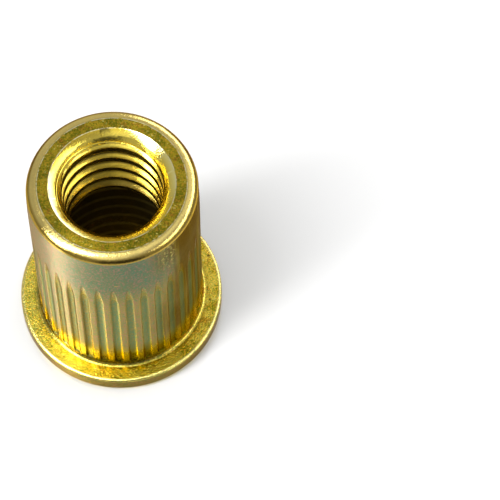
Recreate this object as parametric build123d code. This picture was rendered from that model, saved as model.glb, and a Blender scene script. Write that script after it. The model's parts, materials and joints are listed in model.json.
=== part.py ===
"""Rivet nut, M6, flat head, round shank with rolled flutes, open end.

One turned steel piece. It stands on the outer face of its flange: the origin is the centre of
that face, and +Z runs along the axis to the threaded end. Millimetres throughout.
"""
from build123d import *
from math import radians, tan
import os

# Shank and flange
body_diameter = 9.0          # shank over the flutes, for a 9.1 mm hole in the sheet
total_length = 13.8          # outer face of the flange to the threaded end
flange_diameter = 11.1
flange_thickness = 1.1
seat_edge_radius = 0.15      # rim of the flange, beside the face that seats on the sheet
face_edge_radius = 0.34      # rim of the flange, beside its outer face
neck_radius = 0.22           # cove where the shank meets the flange
end_round_width = 0.58       # outer corner of the threaded end, a flattened rounding
end_round_height = 0.47
nose_length = 1.8            # last stretch of the shank, drawn in slightly for easy entry
nose_drop = 0.03             # how much the nose's radius loses on the way to the end

# Internal thread, M6 x 1: the bore is left at the size it is drilled to before tapping
tapping_bore = 5.0
thread_length = 6.0          # threaded end down to the wide bore
mouth_diameter = 6.62        # where the mouth leaves the flat end face
mouth_depth = 0.18           # shallow dish before the entry cone
entry_diameter = 5.92        # top of the entry cone
entry_angle = 60.0           # full angle of the entry cone

# Wide bore behind the thread: its thin wall folds into the bulge when the nut is set
wall_bore = 7.0
bore_step_angle = 118.0      # full angle of the drill point that ends the wide bore
wall_bore_bevel = 0.3        # bevel where the wide bore opens in the flange

# Flutes rolled into the shank, so that it can't turn in the sheet
flute_count = 35
flute_width = 0.49
flute_depth = 0.13
flute_gap = 0.32             # plain neck between the flange and the ends of the flutes
flute_length = 9.0           # neck end to vanishing tip
flute_runout = 1.7           # the part of that length over which a flute fades out

# Derived sizes
body_radius = body_diameter / 2
flange_radius = flange_diameter / 2
tapping_radius = tapping_bore / 2
nose_radius = body_radius - nose_drop
thread_bottom = total_length - thread_length
entry_top = total_length - mouth_depth
entry_bottom = entry_top - (entry_diameter / 2 - tapping_radius) / tan(radians(entry_angle / 2))
step_height = (wall_bore / 2 - tapping_radius) / tan(radians(bore_step_angle / 2))


def rounded(outline, corner, radius):
    """Round the corner of a flat outline that lies nearest to a given point."""
    return fillet(outline.vertices().sort_by_distance(corner)[0], radius)


def half_section():
    """Section through the wall on one side of the axis: radius along X, height along Y."""
    rim_foot = (flange_radius, 0)
    rim_top = (flange_radius, flange_thickness)
    neck = (body_radius, flange_thickness)
    inside_and_out = Polyline(
        (mouth_diameter / 2, total_length),
        (entry_diameter / 2, entry_top),
        (tapping_radius, entry_bottom),
        (tapping_radius, thread_bottom + step_height),
        (wall_bore / 2, thread_bottom),
        (wall_bore / 2, wall_bore_bevel),
        (wall_bore / 2 + wall_bore_bevel, 0),
        rim_foot,
        rim_top,
        neck,
        (body_radius, total_length - nose_length),
        (nose_radius, total_length - end_round_height),
    )
    end_corner = EllipticalCenterArc(
        (nose_radius - end_round_width, total_length - end_round_height),
        x_radius=end_round_width,
        y_radius=end_round_height,
        start_angle=0,
        arc_size=90,
    )
    end_face = Line(end_corner @ 1, inside_and_out @ 0)
    outline = make_face([inside_and_out, end_corner, end_face])
    outline = rounded(outline, rim_foot, face_edge_radius)
    outline = rounded(outline, rim_top, seat_edge_radius)
    return rounded(outline, neck, neck_radius)


def flute_tool():
    """A round bar laid along the shank, which leans out of it over the run-out."""
    half_width = flute_width / 2
    bar = (half_width**2 + flute_depth**2) / (2 * flute_depth)
    track = body_radius - flute_depth + bar
    start = flange_thickness + flute_gap
    fade = start + flute_length - flute_runout
    past = 1.3                                  # carries the bar on until it is clear of the shank
    path = Polyline(
        (track, 0, start),
        (track, 0, fade),
        (track + past * flute_depth, 0, fade + past * flute_runout),
    )
    section = Plane((track, 0, start), z_dir=(0, 0, 1)) * Circle(bar)
    tool = sweep(section, path=path, transition=Transition.RIGHT)
    end_slope = Plane((body_radius, 0, start), z_dir=(1, 0, 1))
    return split(tool, bisect_by=end_slope, keep=Keep.TOP)


def rivet_nut():
    blank = revolve(Plane.XZ * half_section(), axis=Axis.Z)
    flutes = [turn * flute_tool() for turn in PolarLocations(0, flute_count, start_angle=-90)]
    return blank - flutes


os.makedirs("parts", exist_ok=True)
nut = rivet_nut()
export_step(nut, "parts/rivet_nut.step")
print("rivet nut volume", round(nut.volume, 2), "mm3, solids", len(nut.solids()))
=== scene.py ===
import json
import math

import bmesh
import bpy
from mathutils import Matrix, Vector


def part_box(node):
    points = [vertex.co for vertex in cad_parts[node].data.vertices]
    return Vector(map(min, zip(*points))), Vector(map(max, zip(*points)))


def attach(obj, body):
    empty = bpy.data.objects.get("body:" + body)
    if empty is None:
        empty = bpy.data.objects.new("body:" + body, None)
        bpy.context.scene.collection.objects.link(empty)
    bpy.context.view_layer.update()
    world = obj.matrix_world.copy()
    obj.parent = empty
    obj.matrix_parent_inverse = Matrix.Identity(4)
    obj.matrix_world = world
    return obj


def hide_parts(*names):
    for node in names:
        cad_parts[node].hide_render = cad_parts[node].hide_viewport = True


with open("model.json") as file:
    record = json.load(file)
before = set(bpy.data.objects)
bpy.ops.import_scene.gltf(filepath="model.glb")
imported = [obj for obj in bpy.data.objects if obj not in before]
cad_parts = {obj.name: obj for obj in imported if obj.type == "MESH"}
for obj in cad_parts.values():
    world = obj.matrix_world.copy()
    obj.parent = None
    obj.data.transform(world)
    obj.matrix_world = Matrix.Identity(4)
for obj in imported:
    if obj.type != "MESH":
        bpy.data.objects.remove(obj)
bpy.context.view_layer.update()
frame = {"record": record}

mm = 0.001
partLow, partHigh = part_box("rivet_nut")
mounts = {mount["name"]: mount for mount in frame["record"]["mounts"]}
baseCentre = Vector(((partLow.x + partHigh.x) / 2, (partLow.y + partHigh.y) / 2, partLow.z))

# Camera: looks steeply down on the threaded end from the -Y side
cameraSetup = {
    "elevation": 63.96,         # degrees above the floor
    "distance": 167.36,         # mm from the point it aims at
    "aimRight": 7.12,           # mm on the floor, from the middle of the nut's base
    "aimBack": 2.98,
    "focalLength": 214.8,       # mm
    "sensorWidth": 36,
}


def addCamera(setup):
    aim = baseCentre + Vector((setup["aimRight"], setup["aimBack"], 0)) * mm
    tilt = math.radians(setup["elevation"])
    away = Vector((0, -math.cos(tilt), math.sin(tilt))) * setup["distance"] * mm
    lens = bpy.data.cameras.new("camera")
    lens.lens = setup["focalLength"]
    lens.sensor_width = setup["sensorWidth"]
    lens.clip_start = 0.01
    lens.clip_end = 20
    camera = bpy.data.objects.new("camera", lens)
    camera.location = aim + away
    camera.rotation_euler = (math.pi / 2 - tilt, 0, 0)
    bpy.context.scene.collection.objects.link(camera)
    bpy.context.scene.camera = camera


addCamera(cameraSetup)
print("camera placed")

# The turned body, in millimetres: what the frame doesn't say follows the part's drawing
nutShape = {
    "height": round((partHigh.z - partLow.z) / mm, 2),
    "flangeRadius": round((partHigh.x - partLow.x) / 2 / mm, 2),
    "flangeThickness": mounts["flange_seat"]["pos_m"][2] / mm,
    "tappingRadius": mounts["thread"]["dims"]["r_mm"],
    "wallBoreRadius": mounts["wall_bore"]["dims"]["r_mm"],
    "shankRadius": 4.5,
    "seatEdgeRadius": 0.15,
    "faceEdgeRadius": 0.34,
    "neckRadius": 0.22,
    "endRoundWidth": 0.58,      # outer corner of the threaded end, a flattened rounding
    "endRoundHeight": 0.47,
    "noseLength": 1.8,
    "noseDrop": 0.03,
    "mouthRadius": 3.31,        # shallow dish before the entry cone
    "mouthDepth": 0.18,
    "entryRadius": 2.96,
    "entryAngle": 82.0,
    "lead": 0.19,               # how much wider the tapped bore gets towards its entry
    "leadHeight": 4.3,          # over this length from the entry down
    "leadCurve": 1.4,           # above 1, most of the widening is near the entry
    "threadLength": 6.0,
    "stepAngle": 118.0,         # drill point that ends the wide bore
    "bevel": 0.3,               # where the wide bore opens in the flange
    "edgeBreak": 0.05,          # rounding that tumbling and plating leave on an edge
    "columns": 280,             # steps round the axis; the shank has twice as many
    "sharpAngle": 38,           # degrees between two faces; edges above it aren't shaded smooth
}

fluteShape = {
    "count": 35,
    "width": 0.49,
    "depth": 0.075,
    "flatness": 3.5,            # how squarely the rolled floor meets its sides
    "gap": 0.32,                # plain neck between the flange and the flutes
    "length": 9.0,
    "runout": 1.7,              # the last part of that length, where a flute fades out
    "blend": 1.3,               # above the tips, where the mesh columns spread evenly again
    "edgeSink": 0.010,          # how far the edge of a flute is rubbed down
    "edgeFade": 0.1,            # height over which that starts at the neck
    "leastAngle": 0.003,        # radians: half of what a flute covers where it has faded out
    "sideShadePlace": -0.8,          # where the painted shade lies: 0 is a flute's middle, -1 and 1 its edges
    "sideShadeWidth": 0.35,
    "slopeHeight": 0.16,        # sloped end of a flute at the neck, where the rings are close
    "plainHeights": (11.6, 11.2, 10.8, 10.6),       # rings above the flutes
    "fluteHeights": (8.0, 6.5, 5.0, 3.5, 2.4),      # rings on the flutes' straight stretch
}

threadShape = {
    "pitch": 1.0,
    "majorRadius": 3.0,
    "rootFlat": 0.125,
    "flankAngle": 60.0,
    "phase": 0.87,              # height of a groove on the +X side, less whole pitches
    "edgeSink": 0.014,
    "fadeDepth": 0.34,          # below the entry cone's rim: the groove runs out from here up
    "fadeSlope": 2.0,
    "snap": 0.012,              # points this near to the tapped bore's ends are moved onto them
}


def degTan(angle):
    return math.tan(math.radians(angle))


# Places that follow from those sizes
shankTop = nutShape["height"] - nutShape["noseLength"]
noseRadius = nutShape["shankRadius"] - nutShape["noseDrop"]
faceEdge = noseRadius - nutShape["endRoundWidth"]           # radius where the end's flat face stops
cornerFoot = nutShape["height"] - nutShape["endRoundHeight"]
threadBottom = nutShape["height"] - nutShape["threadLength"]
entryTop = nutShape["height"] - nutShape["mouthDepth"]
stepHeight = (nutShape["wallBoreRadius"] - nutShape["tappingRadius"]) / degTan(nutShape["stepAngle"] / 2)
fluteStart = nutShape["flangeThickness"] + fluteShape["gap"]
fluteTip = fluteStart + fluteShape["length"]
fluteFade = fluteTip - fluteShape["runout"]
flutePitch = 2 * math.pi / fluteShape["count"]
ringStart = -math.pi / 2 - 4 * math.pi / nutShape["columns"]    # bearing of every ring's first point


def smoothStep(value):
    value = min(1.0, max(0.0, value))
    return value * value * (3 - 2 * value)


# Profile points (radius, height) with the corners rounded; each corner is given as
# (radius, height, rounding, steps)
def roundedProfile(corners):
    points = [corners[0][:2]]
    for before, corner, after in zip(corners, corners[1:], corners[2:]):
        here = Vector(corner[:2])
        rounding, steps = corner[2:]
        if not rounding:
            points.append(tuple(here))
            continue
        toBefore = (Vector(before[:2]) - here).normalized()
        toAfter = (Vector(after[:2]) - here).normalized()
        halfAngle = toBefore.angle(toAfter) / 2
        reach = rounding / math.tan(halfAngle)
        centre = here + (toBefore + toAfter).normalized() * rounding / math.sin(halfAngle)
        start = here + toBefore * reach - centre
        turn = start.angle_signed(here + toAfter * reach - centre)
        points.append(tuple(centre + start + toBefore * 0.02))
        for step in range(steps + 1):
            angle = -turn * step / steps
            spun = Vector((
                start.x * math.cos(angle) - start.y * math.sin(angle),
                start.x * math.sin(angle) + start.y * math.cos(angle),
            ))
            points.append(tuple(centre + spun))
        points.append(tuple(here + toAfter * (reach + 0.02)))
    points.append(corners[-1][:2])
    return points


# One closed ring of points: a list of (x, y, z) in millimetres
def plainRing(radius, height, columns):
    angles = [ringStart + 2 * math.pi / columns * i for i in range(columns)]
    return [(radius * math.cos(angle), radius * math.sin(angle), height) for angle in angles]


# How far a flute is sunk at a height, and half the angle that it covers
def fluteSection(height):
    radius = nutShape["shankRadius"]
    halfWidth = fluteShape["width"] / 2
    roller = (halfWidth**2 + fluteShape["depth"] ** 2) / (2 * fluteShape["depth"])
    sink = fluteShape["depth"]
    if height > fluteFade:
        sink *= max(0.0, (fluteTip - height) / fluteShape["runout"])
    track = radius - sink + roller
    cosine = (radius**2 + track**2 - roller**2) / (2 * radius * track)
    return sink, max(fluteShape["leastAngle"], math.acos(min(1.0, cosine)))


# A ring of the shank, with its columns gathered along the edges of the flutes
def flutedRing(height):
    radius = nutShape["shankRadius"]
    sink, halfAngle = fluteSection(height)
    slopeEdge = radius - (height - fluteStart)
    across = (-1, -0.88, -0.7, -0.35, 0, 0.35, 0.7, 0.88)      # shares of the flute's half width
    alongLand = (0, 0.1, 0.24, 0.4, 0.5, 0.6, 0.76, 0.9)       # shares of the land after it
    even = smoothStep((height - fluteTip) / fluteShape["blend"])
    ring = []
    for flute in range(fluteShape["count"]):
        middle = -math.pi / 2 + flute * flutePitch
        for column in range(16):
            if column < 8:
                angle = across[column] * halfAngle
            else:
                angle = halfAngle + alongLand[column - 8] * (flutePitch - 2 * halfAngle)
            evenAngle = (column - 4) * flutePitch / 16
            angle += even * (evenAngle - angle)
            reach = radius
            if column < 9 and height < fluteTip:
                share = 1 if column == 8 else abs(across[column])
                reach = radius - sink * (1 - share ** fluteShape["flatness"])
                reach = min(radius, max(reach, slopeEdge / math.cos(angle)))
            if column in (0, 8) and fluteStart < height < fluteTip:
                fromTip = (fluteTip - height) / fluteShape["runout"]
                fromNeck = (height - fluteStart) / fluteShape["edgeFade"]
                reach -= fluteShape["edgeSink"] * min(1.0, fromTip, fromNeck)
            turn = middle + angle
            ring.append((reach * math.cos(turn), reach * math.sin(turn), height))
    return ring


# Painted shade along one side of each flute: how dark, from 0 to 1
def fluteSideShadeAt(x, y, height):
    turn = (math.atan2(y, x) + math.pi / 2 + flutePitch / 2) % flutePitch - flutePitch / 2
    across = turn / fluteSection(height)[1]
    return max(0.0, 1 - abs(across - fluteShape["sideShadePlace"]) / fluteShape["sideShadeWidth"])


# Heights of the shank's rings, from the top of the plain stretch down to the neck
def shankHeights():
    heights = [shankTop - 0.02, *fluteShape["plainHeights"]]
    for step in range(13):
        heights.append(fluteTip - fluteShape["runout"] * (step / 12) ** 2)
    heights += fluteShape["fluteHeights"]
    for step in range(7):
        heights.append(fluteStart + fluteShape["slopeHeight"] * (1 - step / 6))
    return heights


# Radius of the bore at a height, before it is tapped
def boreRadius(height):
    tapping, entry, wall = nutShape["tappingRadius"], nutShape["entryRadius"], nutShape["wallBoreRadius"]
    if height < threadBottom + stepHeight:
        return tapping + (threadBottom + stepHeight - height) / stepHeight * (wall - tapping)
    cone = entry - (entryTop - height) * degTan(nutShape["entryAngle"] / 2)
    share = max(0.0, 1 - (entryTop - height) / nutShape["leadHeight"])
    return max(cone, tapping + nutShape["lead"] * share ** nutShape["leadCurve"])


# Radius of the thread's groove at a distance from its middle, along the axis
def grooveRadius(distance):
    past = max(0.0, abs(distance) - threadShape["rootFlat"] / 2)
    return threadShape["majorRadius"] - past / degTan(threadShape["flankAngle"] / 2)


# The thread fades out in the entry cone: the widest that its groove may be at a height
def entryLimit(height):
    below = entryTop - height
    cone = nutShape["entryRadius"] - below * degTan(nutShape["entryAngle"] / 2)
    return cone + threadShape["fadeSlope"] * max(0.0, below - threadShape["fadeDepth"])


# Heights next to the tapped bore's ends count as the ends
def clampHeight(height):
    if height > entryTop - threadShape["snap"]:
        return entryTop
    if height < threadBottom + threadShape["snap"]:
        return threadBottom
    return height


# Distance from a groove's middle to the edge where it meets the bore, on the side given by sign
def grooveEdge(middle, sign):
    near, far = threadShape["rootFlat"] / 2, threadShape["pitch"] / 2
    for _ in range(24):
        half = (near + far) / 2
        if grooveRadius(half) > boreRadius(clampHeight(middle + sign * half)):
            near = half
        else:
            far = half
    return near


# One column of the tapped bore, from the wide bore up to the mouth: (radius, height) points.
# It stands turns round the axis, where 1 is once round
def threadColumn(turns):
    points = []
    half = threadShape["pitch"] / 2
    lowest = math.floor((threadBottom - threadShape["phase"]) / threadShape["pitch"]) - 1
    highest = math.ceil((entryTop - threadShape["phase"]) / threadShape["pitch"]) + 1
    for groove in range(lowest, highest + 1):
        middle = threadShape["phase"] + threadShape["pitch"] * (groove + turns)
        for sign in (-1, 1):
            edge = grooveEdge(middle, sign)
            root = threadShape["rootFlat"] / 2
            flank = [root + share * (edge - root) for share in (0, 0.1, 0.35, 0.65, 0.94)]
            crest = [edge + share * (half - edge) for share in (0, 0.15, 0.6)]
            distances = [0] + flank + crest if sign > 0 else [half] + (flank + crest)[::-1]
            for distance in distances:
                height = clampHeight(middle + sign * distance)
                radius = boreRadius(height)
                if threadBottom < height < entryTop:
                    radius = max(radius, min(grooveRadius(distance), entryLimit(height)))
                    if distance == edge > 0.1:
                        radius += threadShape["edgeSink"]
                points.append((radius, height))
    return points


# Faces between two rings; the finer one may have twice the points of the other
def bridge(faces, ringA, ringB):
    count = len(ringB)
    if len(ringA) == count:
        for i in range(count):
            j = (i + 1) % count
            faces.append((ringA[i], ringA[j], ringB[j], ringB[i]))
        return
    flip = len(ringA) < count
    fine, coarse = (ringB, ringA) if flip else (ringA, ringB)
    for i in range(len(coarse)):
        j = (i + 1) % len(coarse)
        first, second, third = fine[2 * i], fine[2 * i + 1], fine[(2 * i + 2) % len(fine)]
        three = [(first, second, coarse[i]), (second, coarse[j], coarse[i]), (second, third, coarse[j])]
        faces.extend(face[::-1] if flip else face for face in three)


# Rings of the outside, from the flat face of the threaded end down to the wide bore
def outerRings():
    s = nutShape
    fine, coarse = 2 * s["columns"], s["columns"]
    # flat face, flattened corner and drawn-in nose; close rings keep the shading of an edge crisp
    profile = [(faceEdge - 0.1, s["height"]), (faceEdge - 0.02, s["height"])]
    for step in range(15):
        angle = math.radians(90 * (1 - step / 14))
        profile.append((
            faceEdge + s["endRoundWidth"] * math.cos(angle),
            cornerFoot + s["endRoundHeight"] * math.sin(angle),
        ))
    profile += [(noseRadius, cornerFoot - 0.03), (s["shankRadius"] - 0.015, (cornerFoot + shankTop) / 2)]
    profile += [(s["shankRadius"], shankTop)]
    rings = [plainRing(radius, height, fine) for radius, height in profile]
    rings += [flutedRing(height) for height in shankHeights()]
    # neck, cove and the start of the flange's seat
    neck = roundedProfile([
        (s["shankRadius"], fluteStart - 0.03, 0, 0),
        (s["shankRadius"], s["flangeThickness"], s["neckRadius"], 7),
        (s["shankRadius"] + 0.4, s["flangeThickness"], 0, 0),
    ])
    rings += [plainRing(radius, height, fine) for radius, height in neck]
    # seat, rim, face, bevel and wide bore
    rimAndBore = roundedProfile([
        (s["shankRadius"] + 0.5, s["flangeThickness"], 0, 0),
        (s["flangeRadius"], s["flangeThickness"], s["seatEdgeRadius"], 6),
        (s["flangeRadius"], 0, s["faceEdgeRadius"], 9),
        (s["wallBoreRadius"] + s["bevel"], 0, s["edgeBreak"], 3),
        (s["wallBoreRadius"], s["bevel"], s["edgeBreak"], 3),
        (s["wallBoreRadius"], threadBottom - 0.3, 0, 0),
    ])
    return rings + [plainRing(radius, height, coarse) for radius, height in rimAndBore]


# Blender's mesh from those points: doubles merged, sharp edges kept, and the finish's masks stored
def makeMesh(points, faces, masks):
    mesh = bpy.data.meshes.new("rivet_nut_plated")
    mesh.from_pydata([(x * mm, y * mm, z * mm) for x, y, z in points], [], faces)
    for name, values in masks.items():
        mesh.attributes.new(name, "FLOAT", "POINT").data.foreach_set("value", values)
    shape = bmesh.new()
    shape.from_mesh(mesh)
    bmesh.ops.remove_doubles(shape, verts=shape.verts, dist=0.0005 * mm)
    bmesh.ops.dissolve_degenerate(shape, edges=shape.edges, dist=0.0005 * mm)
    bmesh.ops.recalc_face_normals(shape, faces=shape.faces)
    openEdges = sum(1 for edge in shape.edges if not edge.is_manifold)
    for face in shape.faces:
        face.smooth = True
    for edge in shape.edges:
        if edge.is_manifold and edge.calc_face_angle() > math.radians(nutShape["sharpAngle"]):
            edge.smooth = False
    shape.to_mesh(mesh)
    shape.free()
    triangles = sum(len(polygon.vertices) - 2 for polygon in mesh.polygons)
    print("nut built:", triangles, "triangles,", openEdges, "open edges")
    return mesh


def buildNut():
    s = nutShape
    points, faces = [], []
    masks = {"shank": [], "groove": [], "bore": [], "fluteSideShade": []}

    def addRing(ring, shank=0.0, bore=0.0):
        first = len(points)
        points.extend(ring)
        for x, y, z in ring:
            sunk = (s["shankRadius"] - math.hypot(x, y)) / fluteShape["depth"]
            fluted = shank and fluteStart < z < fluteTip
            masks["groove"].append(max(0.0, sunk) if fluted else 0.0)
            masks["fluteSideShade"].append(fluteSideShadeAt(x, y, z) if fluted else 0.0)
            masks["shank"].append(shank)
            masks["bore"].append(bore)
        return list(range(first, first + len(ring)))

    indexed = []
    for ring in outerRings():
        radius, height = math.hypot(*ring[0][:2]), ring[0][2]
        onWall = s["flangeThickness"] + 0.2 < height < cornerFoot + 0.1
        onShank = onWall and radius < s["shankRadius"] + 0.02
        inBore = radius < s["wallBoreRadius"] + 0.02
        indexed.append(addRing(ring, float(onShank), float(inBore)))
    for upper, lower in zip(indexed, indexed[1:]):
        bridge(faces, upper, lower)

    # tapped bore: each column follows the thread up, and the last one meets the first a pitch higher
    columns = []
    for i in range(s["columns"] + 1):
        angle = ringStart + 2 * math.pi * i / s["columns"]
        column = threadColumn(i / s["columns"] + ringStart / (2 * math.pi))
        placed = [(r * math.cos(angle), r * math.sin(angle), z) for r, z in column]
        columns.append(addRing(placed, bore=1.0))
    for left, right in zip(columns, columns[1:]):
        for row in range(len(left) - 1):
            faces.append((left[row], right[row], right[row + 1], left[row + 1]))
    bridge(faces, indexed[-1], addRing(plainRing(s["wallBoreRadius"], threadBottom, s["columns"])))

    # entry cone's rim, the dish and the flat face as far as the corner's ring
    mouth = roundedProfile([
        (s["entryRadius"], entryTop, 0, 0),
        (s["mouthRadius"], s["height"], s["edgeBreak"], 4),
        (faceEdge - 0.25, s["height"], 0, 0),
    ])
    mouthRings = [addRing(plainRing(radius, height, s["columns"])) for radius, height in mouth]
    for lower, upper in zip(mouthRings, mouthRings[1:] + indexed[:1]):
        bridge(faces, lower, upper)

    built = bpy.data.objects.new("rivet_nut_plated", makeMesh(points, faces, masks))
    bpy.context.scene.collection.objects.link(built)
    built.location = baseCentre
    return built


nut = buildNut()


# Shader nodes: each call makes one node and returns its output
def addNode(tree, kind, inputs=(), output=0, **settings):
    node = tree.nodes.new(kind)
    for name, value in settings.items():
        setattr(node, name, value)
    for socket, value in dict(inputs).items():
        if isinstance(value, bpy.types.NodeSocket):
            tree.links.new(value, node.inputs[socket])
        else:
            node.inputs[socket].default_value = value
    return node.outputs[output]


def calculate(tree, operation, first, second=0.0, third=0.0, clamp=False):
    inputs = {0: first, 1: second, 2: third}
    return addNode(tree, "ShaderNodeMath", inputs, operation=operation, use_clamp=clamp)


# Sizes and directions: LENGTH and DOT_PRODUCT give a number, the others a vector
def vectorMath(tree, operation, *values):
    output = 1 if operation in ("LENGTH", "DOT_PRODUCT") else 0
    return addNode(tree, "ShaderNodeVectorMath", dict(enumerate(values)), output, operation=operation)


# A mask from 0, where the value is low, to 1, where it is high; low may be the larger one
def fade(tree, value, low, high):
    inputs = {"Value": value, "From Min": low, "From Max": high}
    return addNode(tree, "ShaderNodeMapRange", inputs, interpolation_type="SMOOTHSTEP")


# Where two masks overlap
def both(tree, first, second):
    return calculate(tree, "MULTIPLY", first, second)


# Lays one colour over another where a mask says, at a strength from 0 to 1
def wash(tree, under, over, mask, strength=None):
    amount = mask if strength is None else both(tree, mask, strength)
    return addNode(tree, "ShaderNodeMix", {0: amount, 6: under, 7: over}, output=2, data_type="RGBA")


def mottle(tree, place, scale, detail, stretch=(1, 1, 1), shift=0.0, roughness=0.5):
    inputs = {"Vector": place, "Location": (shift, 0, 0), "Scale": stretch}
    spread = addNode(tree, "ShaderNodeMapping", inputs)
    inputs = {"Vector": spread, "Scale": scale, "Detail": detail, "Roughness": roughness}
    return addNode(tree, "ShaderNodeTexNoise", inputs)


# Colours of the yellow chromate, and of the light and shade painted on it
finish = {
    # flat face of the threaded end
    "flatGold": (0.46, 0.355, 0.022, 1),
    "flatOlive": (0.19, 0.19, 0.009, 1),
    "flatBrown": (0.33, 0.17, 0.020, 1),
    "flatAmber": (0.62, 0.34, 0.035, 1),
    "flatMoss": (0.13, 0.14, 0.006, 1),
    # flange, and its side
    "flangeGold": (0.97, 0.82, 0.12, 1),
    "flangeOlive": (0.36, 0.35, 0.010, 1),
    "flangeBrown": (0.62, 0.33, 0.040, 1),
    "flangeAmber": (1.0, 0.62, 0.05, 1),
    "flangeMoss": (0.30, 0.34, 0.008, 1),
    # painted light on the flange's left side
    "flangeLitPale": (0.88, 0.80, 0.15, 1),
    "flangeFront": (0.95, 0.90, 0.14, 1),
    "rimOlive": (0.11, 0.115, 0.038, 1),
    "rimPink": (0.23, 0.145, 0.085, 1),
    "rimTeal": (0.09, 0.16, 0.09, 1),
    # corner and mouth of the threaded end
    "cornerTan": (0.85, 0.66, 0.22, 1),
    "cornerBrown": (0.38, 0.26, 0.05, 1),
    # painted shade on the corner's side at the back
    "cornerBackShade": (0.09, 0.045, 0.008, 1),
    "mouthBrass": (0.66, 0.48, 0.050, 1),
    # painted highlight: paler brass on the dish's left front and right back
    "dishGlintPale": (1.0, 0.90, 0.36, 1),
    # painted highlight along rounded edges
    "edgeGlint": (0.85, 0.78, 0.50, 1),
    # shank
    "wallGreen": (0.122, 0.203, 0.084, 1),
    "wallTeal": (0.097, 0.190, 0.104, 1),
    # the pink tinge, and on the left side partly painted light
    "wallPink": (0.38, 0.285, 0.15, 1),
    # painted shade on the shank's right side: brown with paler streaks
    "wallShadeBrown": (0.080, 0.050, 0.010, 1),
    "wallShadeStreaks": (0.150, 0.110, 0.018, 1),
    "landTan": (0.365, 0.30, 0.060, 1),
    "landPink": (0.36, 0.295, 0.125, 1),
    "grainPink": (0.40, 0.23, 0.20, 1),
    "grainTeal": (0.12, 0.27, 0.19, 1),
    "grooveGreen": (0.138, 0.230, 0.100, 1),
    # painted shade on the flutes' floors that face front left
    "grooveShadeOlive": (0.080, 0.078, 0.014, 1),
    # painted shade on the flutes' floors on the right side
    "grooveRightShade": (0.060, 0.070, 0.016, 1),
    "tipOlive": (0.20, 0.175, 0.025, 1),
    # painted shade along one side of each flute
    "fluteSideShade": (0.050, 0.038, 0.003, 1),
    # foot of the shank: a painted reflection of the flange, with painted highlights
    "footReflectGold": (0.33, 0.25, 0.012, 1),
    "footGlintPale": (0.46, 0.43, 0.15, 1),
    "footReflectGroove": (0.165, 0.13, 0.001, 1),
    "footGlintBright": (0.50, 0.43, 0.08, 1),
    # bore, with painted shade in brown, in the thread roots and in the wide bore
    "coneGold": (0.82, 0.64, 0.10, 1),
    "boreBronze": (0.78, 0.58, 0.085, 1),
    "boreOlive": (0.34, 0.26, 0.02, 1),
    "boreShadeBrown": (0.31, 0.215, 0.022, 1),
    "rootShade": (0.05, 0.03, 0.004, 1),
    "wideBoreShade": (0.06, 0.042, 0.010, 1),
    "boreRing": (0.17, 0.13, 0.035, 1),
    # small marks
    # pale flecks painted as glints, on the flat faces and in the scuff on the shank
    "glintFleck": (1.0, 0.90, 0.30, 1),
    "pit": (0.09, 0.05, 0.01, 1),
    "copper": (0.62, 0.36, 0.12, 1),
    "dull": (0.06, 0.05, 0.01, 1),
}

# Patterns in the plating: scale per mm, and a shift in mm that makes each one its own
patterns = {
    "clouds": {"scale": 1.2, "detail": 10, "roughness": 0.75},
    "specks": {"scale": 2.3, "detail": 9, "shift": 7.0, "roughness": 0.75},
    "dust": {"scale": 10.0, "detail": 4, "shift": 17.0, "roughness": 0.65},
    "flecks": {"scale": 7.5, "detail": 3, "shift": 41.0, "roughness": 0.6},
    "drift": {"scale": 0.35, "detail": 5, "stretch": (1, 1, 0.5), "shift": 3.0},
    "tinge": {"scale": 0.5, "detail": 5, "stretch": (1, 1, 0.5), "shift": 11.0},
    "shadeStreakNoise": {"scale": 4.0, "detail": 4, "stretch": (1, 1, 0.03), "shift": 53.0, "roughness": 0.6},
    "streaks": {"scale": 1.5, "detail": 6, "stretch": (0.25, 0.25, 5), "shift": 31.0, "roughness": 0.65},
    "fineGrain": {"scale": 9.0, "detail": 5, "roughness": 0.6},
    "swell": {"scale": 1.3, "detail": 3, "shift": 23.0},
}

# Sides of the nut that tints and painted light and shade face; +Y is the back
sides = {
    "leftSide": (-0.98, -0.17, 0),
    "leftFront": (-0.87, -0.50, 0),
    "frontLeft": (-0.545, -0.839, 0),
    "front": (0.34, -0.94, 0),
    "frontRight": (0.64, -0.77, 0),
    "rightSide": (0.94, -0.34, 0),
    "back": (0, 1, 0),
}

# How far the edges of some tints waver: of a side's cosine, and of a height in mm
waver = {"side": 0.35, "height": 3.0}
drillMarks = 1.05               # mm between the rings that the drill left in the wide bore
glintLine = (0.035, 0.012)       # mm from an edge: where its painted highlight line is gone, and where it is full
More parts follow.
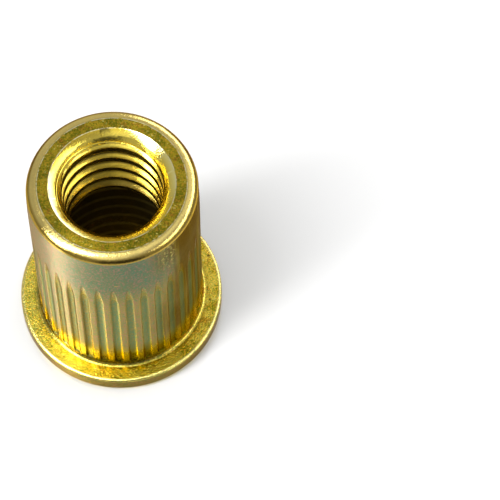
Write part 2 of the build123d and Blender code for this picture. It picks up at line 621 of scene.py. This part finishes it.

# Where each tint and each painted light and shade lies: what is measured, where it starts and where it is
# full.
# Heights and radii are in mm, sides are cosines, and patterns and grooves run from 0 to 1
zones = {
    # flat faces
    "flange": ("radius", 4.5, 4.9),
    "clouded": ("clouds", 0.44, 0.58),
    "speckled": ("specks", 0.53, 0.62),
    "amber": ("dust", 0.50, 0.60),
    "moss": ("dust", 0.48, 0.38),
    "glintSpecks": ("flecks", 0.61, 0.70),
    "flangeLitLeft": ("leftSide", 0.25, 0.85),
    "flangeFront": ("front", 0.90, 0.98),
    "behind": ("back", -0.2, 0.5),
    # threaded end
    "end": ("height", 12.9, 13.3),
    "cornerTop": ("radius", 3.85, 3.98),
    "cornerSide": ("radius", 4.2, 4.36),
    "dish": ("radius", 3.34, 3.28),
    "dishGlintPale": ("dishGlintSides", 0.60, 0.95),
    # where the painted highlight lines on the end's edges show
    "edgeGlintMask": ("specks", 0.40, 0.52),
    # flange's seat edge, cove and side
    "seatEdgeRadius": ("radius", 5.33, 5.42),
    "seatEdgeHeight": ("height", 0.98, 1.06),
    "coveRadius": ("radius", 4.75, 4.68),
    "coveTop": ("height", 1.3, 1.2),
    "coveBottom": ("height", 1.0, 1.1),
    "rimRadius": ("radius", 5.45, 5.53),
    "rimHeight": ("height", 1.05, 0.95),
    "rimRosy": ("dust", 0.47, 0.60),
    "rimBluish": ("dust", 0.46, 0.36),
    # shank
    "teal": ("drift", 0.45, 0.65),
    "pink": ("tinge", 0.55, 0.75),
    # the left side, where the pink is partly the plating's tint and partly painted light
    "left": ("leftWavy", 0.40, 0.90),
    # the right side, where shade is painted in brown
    "right": ("rightWavy", 0.68, 0.99),
    # facing front left: painted shade on the flutes' floors, and a painted highlight low in them at the
    # foot
    "shade": ("frontLeft", 0.90, 0.985),
    "lands": ("height", fluteTip + 0.6, fluteTip - 2.2),
    "tips": ("height", fluteTip - 2.2, fluteTip - 0.7),
    "floors": ("groove", 0.1, 0.7),
    "rosy": ("dust", 0.49, 0.57),
    "bluish": ("dust", 0.49, 0.41),
    "drawn": ("shadeStreakNoise", 0.48, 0.62),
    # a scuffed patch on the front right, with its glints painted as pale flecks
    "scuffGlintSide": ("frontRight", 0.988, 0.999),
    "scuffGlintHeight": ("height", 10.6, 11.6),
    "scuffGlintLines": ("flecks", 0.55, 0.63),
    # foot of the shank, where the flange's reflection is painted
    "foot": ("heightWavy", fluteStart + 3.9, fluteStart + 2.1),
    "footLitLeft": ("leftSide", 0.3, 0.7),
    "footFloors": ("groove", 0.2, 0.8),
    "footLowest": ("height", 3.0, 2.1),
    # bore
    "cone": ("height", 12.6, 12.95),
    "streaked": ("streaks", 0.50, 0.66),
    # painted shade in the bore: at the back, with depth and in the thread roots
    "boreBackShade": ("back", 0.70, 0.98),
    "boreBackShadeHeight": ("height", 12.5, 11.8),
    "boreDepthShade": ("height", 12.6, 8.8),
    "rootShadeRadius": ("radius", 2.70, 2.86),
    "rootShadeHeight": ("height", 12.8, 12.4),
    "wideBore": ("height", 10.5, 7.8),
    "drilled": ("drillWaves", 0.2, 1.0),
    # gloss of the flutes
    "edgeStart": ("groove", 0.02, 0.10),
    "edgeEnd": ("groove", 0.80, 0.55),
    "deepest": ("groove", 0.7, 0.95),
}


# What the finish is measured by, anywhere on the nut
def measureNut(tree):
    local = addNode(tree, "ShaderNodeTexCoord", output=3)
    place = addNode(tree, "ShaderNodeVectorMath", {0: local, 3: 1 / mm}, operation="SCALE")
    level = vectorMath(tree, "MULTIPLY", place, (1, 1, 0))
    outward = vectorMath(tree, "NORMALIZE", level)
    read = {"place": place, "radius": vectorMath(tree, "LENGTH", level)}
    read["height"] = addNode(tree, "ShaderNodeSeparateXYZ", {0: place}, output=2)
    for name in ("groove", "shank", "fluteSideShade", "bore"):
        read[name] = addNode(tree, "ShaderNodeAttribute", output=2, attribute_name=name)
    for name, side in sides.items():
        read[name] = vectorMath(tree, "DOT_PRODUCT", outward, side)
    for name, pattern in patterns.items():
        read[name] = mottle(tree, place, **pattern)
    wave = calculate(tree, "MULTIPLY_ADD", read["tinge"], waver["side"], -waver["side"] / 2)
    read["leftWavy"] = calculate(tree, "ADD", read["leftSide"], wave)
    read["rightWavy"] = calculate(tree, "ADD", read["rightSide"], wave)
    read["heightWavy"] = calculate(tree, "MULTIPLY_ADD", read["tinge"], waver["height"], read["height"])
    read["dishGlintSides"] = calculate(tree, "ABSOLUTE", read["leftFront"])       # left front and right back, where the dish's highlights are painted paler
    waves = calculate(tree, "MULTIPLY", read["height"], 2 * math.pi / drillMarks)
    read["drillWaves"] = calculate(tree, "SINE", waves)
    return read


# Flat faces: gold with olive and brown clouds, the flange brighter than the threaded end, its left side
# paler with painted light, and pale flecks that are painted glints
def flatColour(tree, on):
    flats = []
    for kind in ("flat", "flange"):
        shade = wash(tree, finish[kind + "Gold"], finish[kind + "Olive"], on["clouded"])
        flats.append(wash(tree, shade, finish[kind + "Brown"], on["speckled"]))
    end, flange = flats
    # paler on the left side: painted light
    flange = wash(tree, flange, finish["flangeLitPale"], on["flangeLitLeft"], 0.6)
    flange = wash(tree, flange, finish["flangeFront"], on["flangeFront"], 0.8)
    flange = wash(tree, flange, finish["flangeBrown"], on["behind"], 0.35)
    flat = wash(tree, end, flange, on["flange"])
    strength = calculate(tree, "MULTIPLY_ADD", on["flange"], 0.4, 0.6)      # 1 on the flange
    amber = wash(tree, finish["flatAmber"], finish["flangeAmber"], on["flange"])
    moss = wash(tree, finish["flatMoss"], finish["flangeMoss"], on["flange"])
    flat = wash(tree, flat, amber, on["amber"], strength)
    flat = wash(tree, flat, moss, on["moss"], strength)
    # pale flecks: painted glints
    return wash(tree, flat, finish["glintFleck"], on["glintSpecks"], 0.6)


# Threaded end: its corner and mouth are paler than its face, with painted highlights along their edges and
# paler brass painted on the dish's lit sides, and painted shade on the corner's side at the back
def endColour(tree, read, on, flat):
    flat = wash(tree, flat, finish["cornerTan"], on["corner"], 0.8)
    # the corner's side darkens towards the back: painted shade
    side = wash(tree, finish["cornerBrown"], finish["cornerBackShade"], on["behind"])
    flat = wash(tree, flat, side, both(tree, on["end"], on["cornerSide"]))
    # paler brass where the dish's highlights fall: painted highlight
    brass = wash(tree, finish["mouthBrass"], finish["dishGlintPale"], on["dishGlintPale"])
    flat = wash(tree, flat, brass, on["mouth"], 0.9)
    # painted highlight lines along the dish's edge and the face's edge
    for edge in (nutShape["mouthRadius"], faceEdge):
        away = calculate(tree, "ABSOLUTE", calculate(tree, "SUBTRACT", read["radius"], edge))
        line = both(tree, both(tree, fade(tree, away, *glintLine), on["edgeGlintMask"]), on["end"])
        flat = wash(tree, flat, finish["edgeGlint"], line, 0.8)
    return flat


# Flange: painted highlights along its seat's edge and a little in the cove, and its side olive and rosy
def flangeColour(tree, on, flat):
    seatEdge = both(tree, on["seatEdgeHeight"], on["seatEdgeRadius"])
    cove = both(tree, both(tree, on["coveTop"], on["coveRadius"]), on["coveBottom"])
    # painted highlight along the seat's edge and in the cove
    edgeGlintMask = calculate(tree, "MULTIPLY_ADD", cove, 0.2, seatEdge)
    flat = wash(tree, flat, finish["edgeGlint"], calculate(tree, "MULTIPLY", edgeGlintMask, 0.3, clamp=True))
    side = wash(tree, finish["rimOlive"], finish["rimPink"], on["rimRosy"])
    side = wash(tree, side, finish["rimTeal"], on["rimBluish"])
    return wash(tree, flat, side, both(tree, on["rimRadius"], on["rimHeight"]))


# Shank: grey green with teal drifts, pink on the left side that is partly the plating's tint and partly
# painted light, painted shade on the right in brown with paler streaks, and painted shade on the flutes'
# floors facing front left and on the right
def shankColour(tree, on):
    wall = wash(tree, finish["wallGreen"], finish["wallTeal"], on["teal"])
    wall = wash(tree, wall, finish["wallPink"], on["pink"])
    # pink on the left side, on the wall and on the lands: partly the plating's tint, partly painted light
    wall = wash(tree, wall, finish["wallPink"], on["left"])
    wall = wash(tree, wall, finish["landTan"], on["lands"])
    wall = wash(tree, wall, finish["landPink"], on["left"], 0.7)
    wall = wash(tree, wall, finish["grainPink"], on["rosy"], 0.75)
    wall = wash(tree, wall, finish["grainTeal"], on["bluish"], 0.7)
    # painted shade on the right side: brown with paler streaks
    rightShadeColour = wash(tree, finish["wallShadeBrown"], finish["wallShadeStreaks"], on["drawn"])
    wall = wash(tree, wall, rightShadeColour, on["right"])
    # the floors facing front left are darker: painted shade
    floors = wash(tree, finish["grooveGreen"], finish["grooveShadeOlive"], on["shade"])
    floors = wash(tree, floors, finish["tipOlive"], on["tips"], 0.8)
    floors = wash(tree, floors, finish["landTan"], on["rosy"], 0.45)
    floors = wash(tree, floors, finish["grainTeal"], on["bluish"], 0.5)
    # on the right, painted shade darkens the floors too
    floors = wash(tree, floors, finish["grooveRightShade"], on["right"], 0.75)
    wall = wash(tree, wall, floors, on["floors"], 0.75)
    # a scuffed patch on the front right, with its glints painted as pale flecks
    scuffGlints = both(tree, both(tree, on["scuffGlintSide"], on["scuffGlintLines"]), on["scuffGlintHeight"])
    return wash(tree, wall, finish["glintFleck"], scuffGlints, 0.35)


# Foot of the shank: a painted reflection of the gold flange, with painted highlights on the left side and
# low in the floors facing front left, and painted shade along one side of each flute
def footColour(tree, read, on, wall):
    # a painted highlight low in the flutes' floors that face front left
    lowest = both(tree, on["shade"], on["footLowest"])
    floors = wash(tree, finish["footReflectGroove"], finish["footGlintBright"], lowest)
    # paler on the left side: painted highlight
    lands = wash(tree, finish["footReflectGold"], finish["footGlintPale"], on["footLitLeft"])
    wall = wash(tree, wall, wash(tree, lands, floors, on["footFloors"]), on["foot"])
    darkness = calculate(tree, "MULTIPLY_ADD", on["foot"], 0.46, 0.46)      # twice as dark in the gold
    return wash(tree, wall, finish["fluteSideShade"], read["fluteSideShade"], darkness)


# Bore: bronze streaks, with painted shade that darkens them with depth and at the back, in the thread
# roots and in the wide bore, where the drill's rings are paler
def boreColour(tree, on):
    deep = wash(tree, finish["boreBronze"], finish["boreOlive"], on["streaked"])
    deep = wash(tree, deep, finish["coneGold"], on["cone"])
    # painted shade: darker at the back and with depth, and nearly black in the thread roots
    deep = wash(tree, deep, finish["boreShadeBrown"], both(tree, on["boreBackShade"], on["boreBackShadeHeight"]), 0.45)
    deep = wash(tree, deep, finish["boreShadeBrown"], on["boreDepthShade"], 0.85)
    deep = wash(tree, deep, finish["rootShade"], both(tree, on["rootShadeRadius"], on["rootShadeHeight"]))
    rings = wash(tree, finish["wideBoreShade"], finish["boreRing"], on["drilled"])
    return wash(tree, deep, rings, on["wideBore"])


# Small marks left by handling. Places and sizes are in mm, from the middle of the flange's outer face;
# a squeeze above 1 makes a mark narrower that way
marks = [
    {"place": (4.8, 2.1, 1.1), "size": 0.10, "squeeze": (1, 1, 1), "strength": 0.8, "colour": "pit"},
    {"place": (4.9, -0.6, 1.1), "size": 0.09, "squeeze": (1, 1, 1), "strength": 0.7, "colour": "pit"},
    {"place": (1.9, -4.6, 1.1), "size": 0.08, "squeeze": (1, 1, 1), "strength": 0.7, "colour": "pit"},
    {"place": (0.2, -4.5, 11.0), "size": 0.16, "squeeze": (1, 1, 3), "strength": 0.7, "colour": "copper"},
    {"place": (-0.42, 3.16, 13.7), "size": 0.4, "squeeze": (1, 2, 1), "strength": 0.85, "colour": "dull"},
]


def addMarks(tree, read, colour):
    for mark in marks:
        away = vectorMath(tree, "SUBTRACT", read["place"], mark["place"])
        away = vectorMath(tree, "LENGTH", vectorMath(tree, "MULTIPLY", away, mark["squeeze"]))
        away = calculate(tree, "MULTIPLY", away, 1 / mark["size"])
        away = calculate(tree, "MULTIPLY_ADD", read["flecks"], 0.8, away)      # a ragged outline
        colour = wash(tree, colour, finish[mark["colour"]], fade(tree, away, 1.4, 0.9), mark["strength"])
    return colour


# Roughness of the plating, and what each place adds to it
gloss = {
    "base": 0.12,
    "shank": 0.22,
    "grain": 0.10,
    "fluteEdges": -0.16,
    "fluteFloors": 0.08,
    "faces": -0.08,             # the flange, the mouth and the end's corner
    "foot": -0.20,
}


def platingRoughness(tree, read, on):
    faces = calculate(tree, "ADD", on["mouth"], on["corner"])
    faces = calculate(tree, "ADD", faces, on["flange"], clamp=True)
    places = {
        "shank": read["shank"],
        "grain": read["fineGrain"],
        "fluteEdges": both(tree, on["edgeStart"], on["edgeEnd"]),
        "fluteFloors": on["deepest"],
        "faces": both(tree, faces, calculate(tree, "SUBTRACT", 1.0, read["shank"])),
        "foot": both(tree, on["foot"], read["shank"]),
    }
    rough = gloss["base"]
    for name, mask in places.items():
        rough = calculate(tree, "MULTIPLY_ADD", mask, gloss[name], rough)
    return rough


# Tiny hills of the plating; the flange sparkles, so its dust stands out more
relief = {"height": 0.03, "dust": 0.2, "grain": 0.25, "sparkle": 0.5}       # height in mm


def platingRelief(tree, read, on):
    hills = calculate(tree, "MULTIPLY_ADD", read["dust"], relief["dust"], read["swell"])
    hills = calculate(tree, "MULTIPLY_ADD", read["fineGrain"], relief["grain"], hills)
    flangeOnly = calculate(tree, "SUBTRACT", on["flange"], read["shank"], clamp=True)
    sparkle = both(tree, read["dust"], flangeOnly)
    hills = calculate(tree, "MULTIPLY_ADD", sparkle, relief["sparkle"], hills)
    inputs = {"Height": hills, "Distance": relief["height"] * mm, "Strength": 1.0}
    return addNode(tree, "ShaderNodeBump", inputs)


def platedSteel():
    material = bpy.data.materials.new("yellow_zinc")
    material.use_nodes = True
    tree = material.node_tree
    shader = tree.nodes["Principled BSDF"]
    read = measureNut(tree)
    # a mask for each zone
    on = {name: fade(tree, read[measure], start, full) for name, (measure, start, full) in zones.items()}
    on["corner"] = both(tree, on["end"], on["cornerTop"])
    on["mouth"] = both(tree, on["end"], on["dish"])
    colour = flangeColour(tree, on, endColour(tree, read, on, flatColour(tree, on)))
    wall = footColour(tree, read, on, shankColour(tree, on))
    colour = addMarks(tree, read, wash(tree, colour, wall, read["shank"]))
    colour = wash(tree, colour, boreColour(tree, on), read["bore"])
    tree.links.new(colour, shader.inputs["Base Color"])
    tree.links.new(platingRoughness(tree, read, on), shader.inputs["Roughness"])
    tree.links.new(platingRelief(tree, read, on), shader.inputs["Normal"])
    shader.inputs["Metallic"].default_value = 1
    shader.inputs["Specular Tint"].default_value = (0.78, 0.58, 0.37, 1)
    shader.inputs["Anisotropic"].default_value = 0.9
    shader.inputs["Anisotropic Rotation"].default_value = 0.25
    tangent = addNode(tree, "ShaderNodeTangent", direction_type="RADIAL", axis="Z")
    tree.links.new(tangent, shader.inputs["Tangent"])
    print("yellow zinc mixed")
    return material


nut.data.materials.append(platedSteel())
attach(nut, "root")
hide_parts("rivet_nut")

floorSetup = {
    "halfWidth": 2.0,           # m
    "near": (0.68, 0.68, 0.68, 1),
    "far": (0.16, 0.16, 0.16, 1),
    "fadeFrom": 0.04,           # m from the nut: the white sheet falls off into the dark of the studio
    "fadeTo": 0.11,
    "roughness": 0.12,
    "gloss": 1.0,               # a polished sheet mirrors the lamps back up at the nut
    "refraction": 1.8,
}


def addFloor(setup):
    half = setup["halfWidth"]
    mesh = bpy.data.meshes.new("floor")
    corners = [(-half, -half, 0), (half, -half, 0), (half, half, 0), (-half, half, 0)]
    mesh.from_pydata(corners, [], [(0, 1, 2, 3)])
    material = bpy.data.materials.new("floor_white")
    material.use_nodes = True
    tree = material.node_tree
    shader = tree.nodes["Principled BSDF"]
    place = addNode(tree, "ShaderNodeTexCoord", output=3)
    amount = fade(tree, vectorMath(tree, "LENGTH", place), setup["fadeFrom"], setup["fadeTo"])
    tree.links.new(wash(tree, setup["near"], setup["far"], amount), shader.inputs["Base Color"])
    shader.inputs["Roughness"].default_value = setup["roughness"]
    shader.inputs["Specular IOR Level"].default_value = setup["gloss"]
    shader.inputs["IOR"].default_value = setup["refraction"]
    mesh.materials.append(material)
    floor = bpy.data.objects.new("floor", mesh)
    floor.location = (baseCentre.x, baseCentre.y, baseCentre.z)
    bpy.context.scene.collection.objects.link(floor)


addFloor(floorSetup)

# Soft boxes: bearing is clockwise from straight behind the nut, sizes are angles as the nut sees them
lampSetup = {
    "key_left": {"bearing": -118, "elevation": 47, "wide": 16, "high": 54, "radiance": 15.5},
    "strip_right": {"bearing": 92, "elevation": 36, "wide": 62, "high": 17, "radiance": 4.0},
    "strip_back": {"bearing": 32, "elevation": 24, "wide": 46, "high": 20, "radiance": 3.4},
    "top_left": {"bearing": -95, "elevation": 79, "wide": 22, "high": 13, "radiance": 4.0},
}
lampDistance = 0.5              # m from the nut


def towards(bearing, elevation):
    bearing, elevation = math.radians(bearing), math.radians(elevation)
    flat = math.cos(elevation)
    return Vector((math.sin(bearing) * flat, math.cos(bearing) * flat, math.sin(elevation)))


def addLamp(name, setup):
    light = bpy.data.lights.new(name, "AREA")
    light.shape = "RECTANGLE"
    light.size = 2 * lampDistance * degTan(setup["wide"] / 2)
    light.size_y = 2 * lampDistance * degTan(setup["high"] / 2)
    light.energy = setup["radiance"] * math.pi * light.size * light.size_y
    lamp = bpy.data.objects.new(name, light)
    direction = towards(setup["bearing"], setup["elevation"])
    lamp.location = baseCentre + direction * lampDistance
    lamp.rotation_euler = direction.to_track_quat("Z", "Y").to_euler()
    bpy.context.scene.collection.objects.link(lamp)


for name, setup in lampSetup.items():
    addLamp(name, setup)
print("floor and lights placed")

# The rest of the studio: a grey surround with darker and lighter parts
surround = {
    "level": 0.50,
    "patches": [
        {"bearing": 0, "elevation": 90, "level": 1.1, "full": 14, "gone": 34},
        {"bearing": -5, "elevation": 10, "level": 0.62, "full": 24, "gone": 46},
        {"bearing": -5, "elevation": 64, "level": 0.60, "full": 12, "gone": 20},
        {"bearing": -155, "elevation": 58, "level": 1.3, "full": 9, "gone": 25},
        {"bearing": 45, "elevation": 52, "level": 0.95, "full": 9, "gone": 21},
        {"bearing": 172, "elevation": 6, "level": 0.08, "full": 18, "gone": 30},
    ],
}


def addSurround(setup):
    world = bpy.data.worlds.new("studio")
    bpy.context.scene.world = world
    world.use_nodes = True
    tree = world.node_tree
    way = addNode(tree, "ShaderNodeTexCoord", output=0)
    level = setup["level"]
    for patch in setup["patches"]:
        facing = vectorMath(tree, "DOT_PRODUCT", way, towards(patch["bearing"], patch["elevation"]))
        gone, full = (math.cos(math.radians(patch[edge])) for edge in ("gone", "full"))
        amount = fade(tree, facing, gone, full)
        level = addNode(tree, "ShaderNodeMix", {0: amount, 2: level, 3: patch["level"]}, data_type="FLOAT")
    background = tree.nodes["Background"]
    background.inputs["Color"].default_value = (1, 1, 1, 1)
    tree.links.new(level, background.inputs["Strength"])


addSurround(surround)
bpy.context.scene.view_settings.view_transform = "Standard"
print("surround placed")
